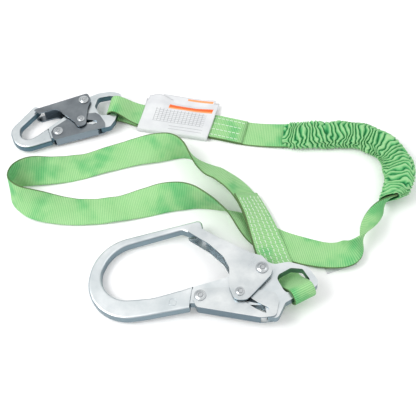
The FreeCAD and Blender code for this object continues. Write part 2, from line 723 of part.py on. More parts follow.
def upper_layer(points, ahead_of_last):
    """The returning layer over the listed lower one, in travel order back from the bar."""
    spots = [V(*p[:3]) for p in points] + [ahead_of_last]
    layer = []
    for i, point in enumerate(points):
        before = spots[i - 1] if i else spots[i] * 2 - spots[i + 1]
        normal = strap_normal(spots[i + 1] - before, point[3])
        spot = spots[i] + normal * LAYER
        layer.append((spot.x, spot.y, spot.z, 360.0 - point[3], point[4]))
    return layer[::-1]


def long_route():
    spot, out = bar_of(REBAR, REBAR_BAR_MIDDLE, REBAR_BAR_DEGREES)
    back = out * -1
    lower = [p + (WEB,) for p in STITCHED]
    for distance, height, roll, width in REBAR_THROAT:
        lower.append(in_plane(spot, back, distance, height) + (roll, min(width, WEB)))
    turn = [(c.x, c.y, c.z, 180.0, LOOP) for c in around_bar(spot, back, REBAR_TURN_RADIUS)]
    points = [LONG_LEG[0] + (WEB - 3.0,)] + [p + (WEB,) for p in LONG_LEG[1:]] + lower + turn
    points += upper_layer(lower, V(*turn[0][:3]))
    return Route(points)


def short_route():
    """From the shock pack to the snap hook's bar, round it and back to the stitched end."""
    spot, out = bar_of(SNAP, SNAP_BAR_MIDDLE, SNAP_BAR_DEGREES)
    lower = [(92.0, 94.3, 4.3, 0.0, WEB), (72.0, 95.6, 2.2, 0.0, WEB), (42.0, 99.2, 1.2, 0.0, WEB)]
    lower += [(8.0, 108.2, 1.9, 0.0, WEB), (-28.0, 115.2, 1.9, 0.0, WEB)]
    for distance, height, width in ((56.0, 1.9, WEB), (25.5, 1.9, 30.0), (16.0, 3.4, 26.0)):
        lower.append(in_plane(spot, out, distance, height) + (0.0, width))
    turn = [(c.x, c.y, c.z, 0.0, LOOP) for c in around_bar(spot, out, SNAP_TURN_RADIUS)]
    upper = []
    for point in lower[-2:1:-1]:
        upper.append((point[0], point[1], point[2] + LAYER, 0.0, point[4]))
    return Route(lower + turn + upper), len(lower)


LONG = long_route()
SHORT, SHORT_LOWER = short_route()
for name, route in (("long", LONG), ("short", SHORT)):
    print(name, "route", round(route.length, 1), "mm, arc radii", [round(r, 1) for r in route.radii])

add_feature("leg_webbing", strip(LONG, PLY))
add_feature("short_webbing", strip(SHORT, PLY))
for label, route in (("leg_webbing", LONG), ("short_webbing", SHORT)):
    solid = doc.getObject(label).Shape
    print(label, "volume over section times length:", round(solid.Volume / (PLY * WEB * route.length), 4))
bar_run = SHORT.marks[SHORT_LOWER + 2]
liner = 0.8
add_feature("wear_liner", strip(SHORT, liner, bar_run - 34.0, bar_run + 34.0,
                                rise=-(PLY + liner) / 2 - 0.05, width=LOOP - 1.0))


# ---------------------------------------------------------------- shock pack
# x, y, roll and height of the gathered jacket's middle line; it lies on the floor.
JACKET_LINE = [
    (85.0, 94.9, 0.0, 7.0),
    (98.0, 93.0, 0.0, 13.0),
    (116.0, 90.6, 0.0, 1.0),
    (138.0, 92.4, 0.0, 1.0),
    (162.0, 92.4, 0.0, 1.0),
    (184.0, 86.0, 0.0, 1.0),
    (201.5, 70.0, 3.0, 1.0),
    (208.5, 47.0, 7.0, 1.0),
    (206.0, 27.0, 14.0, 1.0),
    (200.0, 13.5, 28.0, 11.0),
    (191.5, 2.5, 52.0, 8.4),
]


def jacket_route():
    points = []
    for x, y, roll, height in JACKET_LINE:
        full = JACKET_HEIGHT if height == 1.0 else height
        turn = math.radians(roll)
        flat = (JACKET_WIDTH - full) / 2
        points.append((x, y, flat * math.sin(turn) + full / 2 + 0.45, roll, full))
    return Route(points, 6.0)


JACKET = jacket_route()
WALL = size("jacket_wall")
CORE_END = 6.0
jacket = tube(JACKET, 0.0).cut(tube(JACKET, WALL))
add_feature("shock_jacket", jacket)
add_feature("shock_core", tube(JACKET, WALL + size("core_clearance"), CORE_END + 5.0, JACKET.length - CORE_END - 5.0))


# ---------------------------------------------------------------- label and tag
def label_wrap():
    """A folded label round the strap: fold at the near edge, two leaves beyond the far edge."""
    thick = size("label_sheet")
    near = -WEB / 2 - 2.6
    far = near + size("label_drop")
    strap_top = 1.9 + LAYER + PLY / 2
    low = 0.15
    high = strap_top + 0.9
    meet = low + thick + 0.25
    shoulder = WEB / 2 + 2.4
    outline = [
        (far, low), (near, low), (near - 1.2, low + 1.0), (near - 1.2, high), (near, high + thick),
        (shoulder, high + thick), (shoulder + 7.0, meet + thick), (far, meet + thick),
        (far, meet), (shoulder + 6.8, meet), (shoulder, high), (near, high),
        (near - 0.7, high - 0.4), (near - 0.7, low + 1.2), (near, low + thick), (far, low + thick),
    ]
    corners = [V(0, y, z) for y, z in outline]
    return flat_face(corners).extrude(V(size("label_length"), 0, 0))


def sheet_piece(length, width, thick):
    return Part.makeBox(length, width, thick, V(-length / 2, -width / 2, 0))


def lying(x, y, z, heading, lean=0.0):
    turn = FreeCAD.Rotation(V(0, 0, 1), heading).multiply(FreeCAD.Rotation(V(0, 1, 0), -lean))
    return FreeCAD.Placement(V(x, y, z) + SHIFT, turn)


LABEL_START = (-73.2, 122.9)
LABEL_HEADING = -10.6
add_feature("label_wrap", label_wrap(), lying(*LABEL_START, 0.0, LABEL_HEADING))
add_feature("label_leaf", sheet_piece(62.0, 17.0, size("label_sheet")), lying(-23.0, 136.0, 8.2, LABEL_HEADING - 3.0, 3.0))
add_feature("sewn_tag", sheet_piece(size("tag_length"), 26.0, size("tag_sheet")), lying(140.0, -64.0, 0.1, 20.0))


# ---------------------------------------------------------------- stitching
STITCH_SIDES = (-12.5, -4.2, 4.2, 12.5)


def stitch_rows(route, start, end, face):
    """Raised thread rows on one face of a doubled strap."""
    rows = []
    for side in STITCH_SIDES:
        rise = face * (PLY / 2 + size("stitch_rise") / 2 + 0.03)
        rows.append(strip(route, size("stitch_rise"), start, end, side, rise, size("stitch_width")))
    return Part.makeCompound(rows)


END_MARGIN = 5.0
add_feature("rebar_loop_stitching", stitch_rows(LONG, LONG.length - 62.0, LONG.length - END_MARGIN, 1.0))
add_feature("snap_loop_stitching", stitch_rows(SHORT, SHORT.length - 32.0, SHORT.length - END_MARGIN, -1.0))

doc.recompute()
failed = []
for item in doc.Objects:
    if "Invalid" in item.State or "Error" in item.State:
        failed.append(item.Label)
for item in SUBPARTS:
    if item.Shape.isNull() or not item.Shape.isValid() or not item.Shape.Solids:
        failed.append(item.Label)
if failed:
    raise RuntimeError("not sound: %s" % ", ".join(failed))
os.makedirs("parts", exist_ok=True)
for item in SUBPARTS:
    item.Shape.exportStep("parts/%s.step" % item.Label)
    print(item.Label, len(item.Shape.Solids), round(item.Shape.Volume, 1), item.Shape.BoundBox)
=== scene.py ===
"""Shock absorbing lanyard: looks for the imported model, in metres, in the model's own frame."""
import math
import random

import bpy
from mathutils import Euler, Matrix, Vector, noise
from mathutils.bvhtree import BVHTree


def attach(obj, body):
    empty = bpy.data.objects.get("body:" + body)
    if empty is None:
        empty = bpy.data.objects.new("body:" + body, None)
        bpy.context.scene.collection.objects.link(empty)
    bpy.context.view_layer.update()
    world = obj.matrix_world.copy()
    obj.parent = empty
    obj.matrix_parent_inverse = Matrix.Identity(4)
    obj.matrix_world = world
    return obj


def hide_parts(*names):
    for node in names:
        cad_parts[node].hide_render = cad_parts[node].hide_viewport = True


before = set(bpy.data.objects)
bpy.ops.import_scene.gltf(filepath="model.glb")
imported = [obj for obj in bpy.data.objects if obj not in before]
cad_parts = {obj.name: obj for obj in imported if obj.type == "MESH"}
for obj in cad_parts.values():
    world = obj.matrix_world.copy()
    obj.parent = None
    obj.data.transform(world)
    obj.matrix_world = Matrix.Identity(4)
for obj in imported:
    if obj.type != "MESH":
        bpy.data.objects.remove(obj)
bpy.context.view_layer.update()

MM = 0.001
SHIFT = Vector((-3.27, -4.79, 0.0)) * MM
UP = Vector((0.0, 0.0, 1.0))
SCENE = bpy.context.scene

WEB = 33.0
LOOP = 24.0
LAYER = 2.15
PLY = 1.9
random.seed(11)


# ---------------------------------------------------------------- camera and light
def add_camera():
    data = bpy.data.cameras.new("camera")
    data.sensor_width = 36.0
    data.lens = 834.0 / 416.0 * 36.0
    data.clip_start = 0.05
    data.clip_end = 20.0
    camera = bpy.data.objects.new("camera", data)
    SCENE.collection.objects.link(camera)
    camera.location = Vector((0.0, -485.8, 748.1)) * MM + SHIFT
    camera.rotation_euler = Euler((math.radians(33.0), 0.0, 0.0))
    SCENE.camera = camera
    SCENE.view_settings.view_transform = "Standard"


def add_area(name, place, aim, size, power, tint=(1.0, 1.0, 1.0)):
    data = bpy.data.lights.new(name, "AREA")
    data.shape = "RECTANGLE"
    data.size, data.size_y = size
    data.energy = power
    data.color = tint
    lamp = bpy.data.objects.new(name, data)
    lamp.location = place
    lamp.rotation_euler = (Vector(aim) - Vector(place)).to_track_quat("-Z", "Y").to_euler()
    SCENE.collection.objects.link(lamp)


def add_world(strength):
    world = bpy.data.worlds.new("studio")
    SCENE.world = world
    world.use_nodes = True
    nodes = world.node_tree.nodes
    links = world.node_tree.links
    back = nodes["Background"]
    back.inputs["Strength"].default_value = strength
    place = nodes.new("ShaderNodeTexCoord")
    apart = nodes.new("ShaderNodeSeparateXYZ")
    ramp = nodes.new("ShaderNodeValToRGB")
    ramp.color_ramp.elements[0].position = 0.48
    ramp.color_ramp.elements[0].color = (0.22, 0.26, 0.30, 1.0)
    ramp.color_ramp.elements[1].position = 0.78
    ramp.color_ramp.elements[1].color = (1.0, 1.0, 1.0, 1.0)
    scale = nodes.new("ShaderNodeMath")
    scale.operation = "MULTIPLY_ADD"
    scale.inputs[1].default_value = 0.5
    scale.inputs[2].default_value = 0.5
    links.new(place.outputs["Generated"], apart.inputs[0])
    links.new(apart.outputs["Z"], scale.inputs[0])
    links.new(scale.outputs[0], ramp.inputs[0])
    links.new(ramp.outputs[0], back.inputs["Color"])


# ---------------------------------------------------------------- materials
class Shade:
    """One procedural material, built node by node."""

    def __init__(self, name, rough=0.5, metal=0.0, **sockets):
        self.material = bpy.data.materials.new(name)
        self.material.use_nodes = True
        self.tree = self.material.node_tree
        self.shader = self.tree.nodes["Principled BSDF"]
        self.shader.inputs["Roughness"].default_value = rough
        self.shader.inputs["Metallic"].default_value = metal
        for key, value in sockets.items():
            self.shader.inputs[key.replace("_", " ")].default_value = value

    def node(self, kind, **values):
        made = self.tree.nodes.new("ShaderNode" + kind)
        for key, value in values.items():
            if hasattr(made, key):
                setattr(made, key, value)
            else:
                made.inputs[key.replace("_", " ")].default_value = value
        return made

    def link(self, out, into):
        self.tree.links.new(out, into)

    def coords(self, kind="Object"):
        return self.node("TexCoord").outputs[kind]

    def noise(self, scale, detail=3.0, rough=0.55, where="Object", stretch=None):
        source = self.coords(where)
        if stretch:
            mapping = self.node("Mapping")
            mapping.inputs["Scale"].default_value = stretch
            self.link(source, mapping.inputs["Vector"])
            source = mapping.outputs[0]
        made = self.node("TexNoise")
        made.inputs["Scale"].default_value = scale
        made.inputs["Detail"].default_value = detail
        made.inputs["Roughness"].default_value = rough
        self.link(source, made.inputs["Vector"])
        return made.outputs["Fac"]

    def math(self, operation, first, second=None, third=None, clamp=False):
        made = self.node("Math", operation=operation)
        made.use_clamp = clamp
        for i, value in enumerate((first, second, third)):
            if value is None:
                continue
            if isinstance(value, (int, float)):
                made.inputs[i].default_value = value
            else:
                self.link(value, made.inputs[i])
        return made.outputs[0]

    def ramp(self, factor, *stops):
        made = self.node("ValToRGB")
        elements = made.color_ramp.elements
        while len(elements) < len(stops):
            elements.new(0.5)
        for element, (place, colour) in zip(elements, stops):
            element.position = place
            if isinstance(colour, (int, float)):
                colour = (colour, colour, colour)
            element.color = tuple(colour) + (1.0,)
        self.link(factor, made.inputs[0])
        return made.outputs[0]

    def mix(self, factor, first, second, blend="MIX"):
        made = self.node("Mix", data_type="RGBA", blend_type=blend)
        for socket, value in ((made.inputs[0], factor), (made.inputs[6], first), (made.inputs[7], second)):
            if isinstance(value, (int, float)):
                socket.default_value = value
            elif isinstance(value, tuple):
                socket.default_value = value + (1.0,)
            else:
                self.link(value, socket)
        return made.outputs[2]

    def colour(self, value):
        if isinstance(value, tuple):
            self.shader.inputs["Base Color"].default_value = value + (1.0,)
        else:
            self.link(value, self.shader.inputs["Base Color"])

    def rough(self, value):
        self.link(value, self.shader.inputs["Roughness"])

    def bump(self, height, distance, strength=1.0):
        made = self.node("Bump")
        made.inputs["Distance"].default_value = distance
        made.inputs["Strength"].default_value = strength
        self.link(height, made.inputs["Height"])
        self.link(made.outputs[0], self.shader.inputs["Normal"])

    def uv(self):
        apart = self.node("SeparateXYZ")
        self.link(self.coords("UV"), apart.inputs[0])
        return apart.outputs["X"], apart.outputs["Y"]


LIGHT_GREEN = (0.36, 0.65, 0.29)
MID_GREEN = (0.10, 0.47, 0.16)
DEEP_GREEN = (0.03, 0.32, 0.10)
YELLOW_GREEN = (0.42, 0.68, 0.33)
EDGE_BROWN = (0.07, 0.10, 0.03)
RIB_PITCH = 1.9
YARN_PITCH = 1.1
DARK_EDGE_BAND = 0.9


def webbing_material(name):
    shade = Shade(name, rough=0.75, Sheen_Weight=0.08, Sheen_Roughness=0.4, Specular_IOR_Level=0.15)
    along, across = shade.uv()
    rib = shade.math("SINE", shade.math("MULTIPLY", along, 2 * math.pi / (RIB_PITCH * MM)))
    rib01 = shade.math("MULTIPLY_ADD", rib, 0.5, 0.5)
    yarn = shade.math("SINE", shade.math("MULTIPLY", across, 2 * math.pi / (YARN_PITCH * MM)))
    wide = shade.noise(30.0, 2.0)
    fine = shade.noise(900.0, 2.0)
    body = shade.ramp(wide, (0.36, MID_GREEN), (0.50, LIGHT_GREEN), (0.68, YELLOW_GREEN))
    # The rib valleys, the low parts of the bump, are painted darker: painted shade in the weave's grooves.
    groove = shade.ramp(rib01, (0.05, DEEP_GREEN), (0.5, LIGHT_GREEN))
    body = shade.mix(0.42, body, groove)
    fleck = shade.ramp(fine, (0.3, 0.0), (0.75, 1.0))
    body = shade.mix(shade.math("MULTIPLY", fleck, 0.12), body, DEEP_GREEN)
    # A band along one edge of the webbing is painted dark brown.
    limit = shade.math("GREATER_THAN", across, (WEB / 2 - DARK_EDGE_BAND) * MM)
    body = shade.mix(shade.math("MULTIPLY", limit, 0.8), body, EDGE_BROWN)
    shade.colour(body)
    height = shade.math("ADD", rib01, shade.math("MULTIPLY", yarn, 0.16))
    height = shade.math("ADD", height, shade.math("MULTIPLY", fine, 0.4))
    shade.bump(height, 0.00035, 0.8)
    return shade.material


def jacket_material():
    shade = Shade("jacket_weave", rough=0.8, Sheen_Weight=0.08, Sheen_Roughness=0.45, Specular_IOR_Level=0.15)
    along, across = shade.uv()
    warp = shade.math("SINE", shade.math("MULTIPLY", along, 2 * math.pi / (1.2 * MM)))
    weft = shade.math("SINE", shade.math("MULTIPLY", across, 2 * math.pi / (1.5 * MM)))
    weave = shade.math("MULTIPLY_ADD", shade.math("MULTIPLY", warp, weft), 0.5, 0.5)
    # The jacket is painted near black in the valleys of its gathered folds and lighter towards the crests:
    # painted shade in the creases.
    depth = shade.node("Attribute")
    depth.attribute_name = "crest"
    fold = depth.outputs["Fac"]
    body = shade.ramp(fold, (0.0, (0.006, 0.11, 0.025)), (0.40, (0.03, 0.28, 0.09)),
                      (0.72, (0.17, 0.52, 0.20)), (1.0, (0.36, 0.66, 0.31)))
    fine = shade.noise(700.0, 2.0)
    body = shade.mix(shade.math("MULTIPLY", shade.ramp(fine, (0.3, 0.0), (0.8, 1.0)), 0.18), body, DEEP_GREEN)
    shade.colour(body)
    shade.bump(shade.math("ADD", weave, shade.math("MULTIPLY", fine, 0.5)), 0.0003, 0.8)
    return shade.material


def metal_material(name, tint, dark, edge, rough, scale=1.0, speckle=0.15):
    shade = Shade(name, rough=rough, metal=1.0)
    cloud = shade.noise(38.0 * scale, 4.0)
    grain = shade.noise(1400.0, 2.0, where="Object")
    rub = shade.noise(240.0 * scale, 3.0, stretch=(1.0, 6.0, 1.0))
    # Faces turned sideways, where the object-space normal has little Z, take the edge colour: painted shade
    # that darkens the hooks' side faces.
    face = shade.node("SeparateXYZ")
    shade.link(shade.coords("Normal"), face.inputs[0])
    level = shade.math("ABSOLUTE", face.outputs["Z"])
    tone = shade.mix(shade.ramp(cloud, (0.3, 0.0), (0.7, 1.0)), dark, tint)
    tone = shade.mix(shade.math("MULTIPLY", shade.ramp(rub, (0.52, 0.0), (0.75, 1.0)), speckle), tone, dark)
    tone = shade.mix(shade.ramp(level, (0.35, 0.0), (0.93, 1.0)), edge, tone)
    shade.colour(tone)
    shade.rough(shade.math("MULTIPLY_ADD", cloud, 0.18, rough - 0.09))
    shade.bump(shade.math("ADD", grain, shade.math("MULTIPLY", rub, 0.6)), 0.00006, 0.5)
    return shade.material


def plain_cloth(name, tint, shadow, scale=900.0, rough=0.85, bump=0.0002):
    shade = Shade(name, rough=rough, Sheen_Weight=0.2)
    fine = shade.noise(scale, 2.0)
    shade.colour(shade.mix(shade.ramp(fine, (0.3, 0.0), (0.7, 1.0)), tint, shadow))
    shade.bump(fine, bump, 0.7)
    return shade.material


def within(shade, value, low, high):
    above = shade.math("GREATER_THAN", value, low)
    below = shade.math("LESS_THAN", value, high)
    return shade.math("MULTIPLY", above, below)


CELL_LONG = 4.1
CELL_HIGH = 2.7
PALE_BAND = 0.0022


def label_material(name, strip, grid):
    """White label sheet; strip and grid are boxes (u0, u1, v0, v1) in metres on the sheet."""
    shade = Shade(name, rough=0.42, Specular_IOR_Level=0.5)
    u, v = shade.uv()
    paper = shade.noise(60.0, 3.0)
    body = shade.mix(shade.ramp(paper, (0.3, 0.0), (0.7, 1.0)), (0.71, 0.72, 0.73), (0.62, 0.63, 0.65))
    if grid:
        area = shade.math("MULTIPLY", within(shade, u, grid[0], grid[1]), within(shade, v, grid[2], grid[3]))
        cell_u = shade.math("FRACT", shade.math("DIVIDE", shade.math("SUBTRACT", u, grid[0]), CELL_LONG * MM))
        cell_v = shade.math("FRACT", shade.math("DIVIDE", shade.math("SUBTRACT", v, grid[2]), CELL_HIGH * MM))
        line = shade.math("MAXIMUM", shade.math("LESS_THAN", cell_u, 0.13),
                          shade.math("LESS_THAN", cell_v, 0.17))
        drawn = shade.math("MULTIPLY", shade.math("MULTIPLY", area, line), 0.62)
        body = shade.mix(drawn, body, (0.16, 0.17, 0.18))
        for low in (0.0075, 0.0115):
            rule = shade.math("MULTIPLY", within(shade, u, 0.034, 0.072), within(shade, v, low, low + 0.0007))
            body = shade.mix(shade.math("MULTIPLY", rule, 0.5), body, (0.2, 0.21, 0.22))
    if strip:
        span = within(shade, u, strip[0], strip[1])
        deep = shade.math("MULTIPLY", span, within(shade, v, strip[2], strip[3]))
        body = shade.mix(deep, body, (0.86, 0.13, 0.01))
        pale = shade.math("MULTIPLY", span, within(shade, v, strip[2] - PALE_BAND, strip[2]))
        body = shade.mix(pale, body, (0.85, 0.33, 0.12))
    shade.colour(body)
    shade.bump(paper, 0.0004, 0.25)
    return shade.material


def floor_material():
    shade = Shade("pale_floor", rough=0.9, Specular_IOR_Level=0.1)
    soft = shade.noise(3.0, 2.0)
    shade.colour(shade.mix(shade.ramp(soft, (0.3, 0.0), (0.7, 1.0)), (0.97, 0.97, 0.97), (0.95, 0.95, 0.95)))
    return shade.material


# ---------------------------------------------------------------- mesh helpers
def new_mesh(name, vertices, faces, material, uvs=None, smooth=True):
    mesh = bpy.data.meshes.new(name)
    mesh.from_pydata([tuple(v) for v in vertices], [], faces)
    mesh.update()
    for polygon in mesh.polygons:
        polygon.use_smooth = smooth
    if uvs:
        layer = mesh.uv_layers.new(name="flat")
        for polygon in mesh.polygons:
            for corner, place in zip(polygon.loop_indices, uvs[polygon.index]):
                layer.data[corner].uv = place
    mesh.materials.append(material)
    piece = bpy.data.objects.new(name, mesh)
    SCENE.collection.objects.link(piece)
    return piece


def smooth_line(points, resolution=10):
    """The smooth line of a NURBS spline with these control points."""
    curve = bpy.data.curves.new("line", "CURVE")
    curve.dimensions = "3D"
    curve.resolution_u = resolution
    spline = curve.splines.new("NURBS")
    spline.points.add(len(points) - 1)
    for target, point in zip(spline.points, points):
        target.co = (point[0], point[1], point[2], 1.0)
    spline.order_u = 3
    spline.use_endpoint_u = True
    holder = bpy.data.objects.new("line", curve)
    mesh = bpy.data.meshes.new_from_object(holder)
    line = [v.co.copy() for v in mesh.vertices]
    bpy.data.objects.remove(holder)
    bpy.data.curves.remove(curve)
    bpy.data.meshes.remove(mesh)
    return line


class Band:
    """A flat strap along its route's smooth line, with its side and face directions."""

    def __init__(self, points, resolution=10):
        spots = [Vector(p[:3]) * MM + SHIFT for p in points]
        lefts, rights = [], []
        level = None
        for i, point in enumerate(points):
            ahead = (spots[min(i + 1, len(spots) - 1)] - spots[max(i - 1, 0)]).normalized()
            flat = UP.cross(ahead)
            if flat.length > 0.35:
                flat.normalize()
                if level is not None and flat.dot(level) < 0:
                    flat = -flat
            else:
                flat = (level - ahead * level.dot(ahead)).normalized()
            level = flat
            roll = math.radians(point[3])
            across = level * math.cos(roll) + ahead.cross(level) * math.sin(roll)
            half = across * (point[4] / 2 * MM)
            lefts.append(spots[i] - half)
            rights.append(spots[i] + half)
        self.line = smooth_line(spots, resolution)
        left_line = smooth_line(lefts, resolution)
        right_line = smooth_line(rights, resolution)
        self.across, self.normal, self.half, self.run = [], [], [], []
        total = 0.0
        for i, spot in enumerate(self.line):
            if i:
                total += (spot - self.line[i - 1]).length
            self.run.append(total)
            ahead = (self.line[min(i + 1, len(self.line) - 1)] - self.line[max(i - 1, 0)]).normalized()
            side = right_line[i] - left_line[i]
            side = side - ahead * side.dot(ahead)
            self.half.append(side.length / 2)
            side.normalize()
            self.across.append(side)
            self.normal.append(ahead.cross(side))
        self.length = total

    def at(self, run, across, rise):
        """The point at a run, an offset across and a rise off the middle surface, in metres."""
        run = min(max(run, 0.0), self.length)
        for i in range(1, len(self.run)):
            if self.run[i] >= run:
                break
        share = (run - self.run[i - 1]) / max(self.run[i] - self.run[i - 1], 1e-9)
        spot = self.line[i - 1].lerp(self.line[i], share)
        side = self.across[i - 1].lerp(self.across[i], share).normalized()
        face = self.normal[i - 1].lerp(self.normal[i], share).normalized()
        return spot + side * across + face * rise

    @staticmethod
    def sag(run, side, loose):
        """How far slack webbing stands off its flat lie, at a run and a share across."""
        first, last = loose
        fade = min(1.0, max(0.0, (run - first) / 0.04), max(0.0, (last - run) / 0.04))
        wave = noise.noise(Vector((run * 28.0, side * 0.75, 1.7)))
        ripple = noise.noise(Vector((run * 75.0, side * 1.1, 5.2)))
        return fade * (0.0012 + 0.0030 * wave + 0.0011 * ripple + 0.0010 * (1 - side * side))

    def ribbon(self, name, material, thick, start=0.0, end=None, width=None, rise=0.0, loose=None):
        """A woven band with rolled edges over part of the route, uneven between the two loose runs."""
        end = self.length if end is None else end
        shape = [-1.0, -0.985, -0.95, -0.86, -0.6, -0.3, 0.0, 0.3, 0.6, 0.86, 0.95, 0.985, 1.0]
        lift = [0.25, 0.62, 0.86, 1.0, 1.0, 1.0, 1.0, 1.0, 1.0, 1.0, 0.86, 0.62, 0.25]
        ring = list(zip(shape, lift)) + [(a, -b) for a, b in reversed(list(zip(shape, lift)))]
        vertices, places = [], []
        rows = [i for i, run in enumerate(self.run) if start - 1e-9 <= run <= end + 1e-9]
        for i in rows:
            half = self.half[i] if width is None else width / 2
            for a, b in ring:
                bow = self.sag(self.run[i], a, loose) * self.normal[i].z if loose else 0.0
                vertices.append(self.line[i] + self.across[i] * (a * half)
                                + self.normal[i] * (rise + bow + b * thick / 2))
                places.append((self.run[i], a * (half if width else WEB / 2 * MM)))
        faces, uvs = [], []
        count = len(ring)
        for row in range(len(rows) - 1):
            for k in range(count):
                j = (k + 1) % count
                corners = [row * count + k, row * count + j, (row + 1) * count + j, (row + 1) * count + k]
                faces.append(corners)
                uvs.append([places[c] for c in corners])
        for cap in (list(range(count))[::-1], [(len(rows) - 1) * count + k for k in range(count)]):
            faces.append(cap)
            uvs.append([places[c] for c in cap])
        return new_mesh(name, vertices, faces, material, uvs)


def thread_rows(name, band, sides, start, end, rise, material, stitch=3.4, gap=1.3, radius=0.42, zigzag=0.0):
    """Sewn rows: short raised stitches that dip into the webbing at both ends."""
    vertices, faces = [], []
    for side in sides:
        run = start + random.uniform(0.0, stitch)
        count = 0
        while run + stitch < end:
            lean = zigzag * (1 if count % 2 else -1)
            far_side = side + lean + random.uniform(-0.15, 0.15)
            add_stitch(vertices, faces, band, run * MM, (run + stitch) * MM,
                       (side - lean) * MM, far_side * MM, rise * MM, radius * MM)
            run += stitch + gap
            count += 1
    return new_mesh(name, vertices, faces, material)


def add_stitch(vertices, faces, band, start, end, side_a, side_b, rise, radius):
    steps, around = 5, 6
    base = len(vertices)
    for k in range(steps):
        share = k / (steps - 1)
        swell = math.sin(math.pi * (0.08 + 0.84 * share))
        run = start + (end - start) * share
        side = side_a + (side_b - side_a) * share
        middle = band.at(run, side, rise + radius * (0.9 * swell - 0.6))
        up = (band.at(run, side, rise + radius) - band.at(run, side, rise)).normalized()
        across = (band.at(run, side + radius, rise) - band.at(run, side, rise)).normalized()
        for j in range(around):
            turn = 2 * math.pi * j / around
            vertices.append(middle + across * (math.cos(turn) * radius)
                            + up * (math.sin(turn) * radius * 0.75))
    for k in range(steps - 1):
        for j in range(around):
            n = (j + 1) % around
            faces.append([base + k * around + j, base + k * around + n,
                          base + (k + 1) * around + n, base + (k + 1) * around + j])
    faces.append([base + j for j in reversed(range(around))])
    faces.append([base + (steps - 1) * around + j for j in range(around)])


# ---------------------------------------------------------------- routes
# x, y, z, roll in millimetres and degrees, before the shift to the model's origin.
LONG_LEG = [
    (193.0, 5.0, 15.2, 50.0), (184.0, -6.0, 16.6, 108.0), (172.0, -20.0, 16.4, 172.0),
    (162.0, -37.0, 17.0, 226.0), (156.0, -53.0, 16.6, 292.0), (144.5, -62.5, 11.4, 352.0),
    (124.0, -62.0, 4.4, 8.0), (98.0, -54.0, 1.2, 0.0), (72.0, -45.0, 1.2, 0.0),
    (50.0, -32.0, 1.7, 2.0), (30.0, -19.5, 11.8, 40.0), (13.0, -9.5, 16.4, 70.0),
    (-3.0, -1.4, 17.6, 90.0), (-20.0, 5.5, 16.2, 114.0), (-43.6, 8.2, 9.8, 148.0),
    (-67.0, 3.8, 3.6, 172.0), (-98.0, -3.2, 1.2, 180.0), (-133.0, -7.2, 1.2, 180.0),
    (-161.0, -5.6, 4.6, 167.0), (-184.0, -3.0, 11.8, 139.0), (-203.0, 4.5, 16.8, 108.0),
    (-212.0, 17.0, 17.8, 90.0), (-207.0, 31.5, 17.0, 76.0), (-192.5, 40.5, 12.6, 46.0),
    (-172.0, 45.0, 5.2, 14.0), (-148.0, 50.0, 1.2, 0.0), (-115.5, 61.0, 1.2, 0.0),
    (-82.0, 71.0, 4.2, 10.0), (-57.4, 73.0, 10.4, 34.0), (-38.0, 71.5, 16.0, 66.0),
    (-26.0, 65.0, 17.8, 92.0), (-16.0, 54.5, 16.2, 118.0), (-2.0, 42.5, 13.4, 140.0),
    (14.0, 33.0, 12.4, 146.0), (28.0, 22.5, 12.4, 147.0),
]
TWIST_WIDTHS = (24.0, 21.0, 18.0, 19.0, 24.0, 31.0)
STITCHED = [
    (39.0, 8.5, 12.6, 148.0), (48.5, -11.0, 12.6, 150.0),
    (56.5, -33.0, 8.8, 162.0), (63.5, -53.0, 4.6, 174.0),
]
REBAR_THROAT = ((45.0, 2.6, 178.0, 33.0), (32.0, 2.9, 180.0, 30.0), (19.0, 7.0, 180.0, 25.5))
OCTAGON = (-67.5, -112.5, -157.5, 157.5, 112.5, 67.5)


def tilted(base, heading, tilt, x, y, z=0.0):
    """A point of a hook's own frame, on the floor."""
    turn = Euler((0.0, -math.radians(tilt), math.radians(heading))).to_matrix()
    return Vector(base) + turn @ Vector((x, y, z))


def bar_frame(base, heading, tilt, middle, degrees):
    spot = tilted(base, heading, tilt, *middle)
    turn = math.radians(degrees)
    tip = tilted(base, heading, tilt, middle[0] + math.cos(turn), middle[1] + math.sin(turn))
    along = tip - spot
    return spot, Vector((along.y, -along.x, 0.0)).normalized()


def around_bar(spot, back, radius, roll):
    reach = radius / math.cos(math.radians(22.5))
    corners = []
    for angle in OCTAGON:
        turn = math.radians(angle)
        place = spot + back * (reach * math.cos(turn)) + UP * (reach * math.sin(turn))
        corners.append((place.x, place.y, place.z, roll, LOOP))
    return corners


def strap_normal(ahead, roll):
    run = ahead.normalized()
    level = UP.cross(run).normalized()
    raised = run.cross(level)
    across = level * math.cos(math.radians(roll)) + raised * math.sin(math.radians(roll))
    normal = across.cross(run)
    return normal if normal.z > 0 else -normal


def upper_layer(points, ahead_of_last):
    spots = [Vector(p[:3]) for p in points] + [ahead_of_last]
    layer = []
    for i, point in enumerate(points):
        before = spots[i - 1] if i else spots[i] * 2 - spots[i + 1]
        spot = spots[i] + strap_normal(spots[i + 1] - before, point[3]) * LAYER
        layer.append((spot.x, spot.y, spot.z, 360.0 - point[3], point[4]))
    return layer[::-1]


BOW_PAD = (46.4, -29.3)
REBAR_HOOK = ((-76.3, -85.1, 8.5), -7.6, 4.0)
SNAP_HOOK = ((-199.8, 93.0, 8.3), 20.49, 1.95)


def long_points():
    spot, out = bar_frame(*REBAR_HOOK, (169.5, -3.5), 36.0)
    back = -out
    lower = [p + (WEB,) for p in STITCHED]
    for distance, height, roll, width in REBAR_THROAT:
        place = spot + back * distance
        lower.append((place.x, place.y, height, roll, width))
    turn = around_bar(spot, back, 8.0, 180.0)
    twisted = [p + (width,) for p, width in zip(LONG_LEG, TWIST_WIDTHS)]
    points = twisted + [p + (WEB,) for p in LONG_LEG[len(twisted):]] + lower + turn
    return points + upper_layer(lower, Vector(turn[0][:3]))


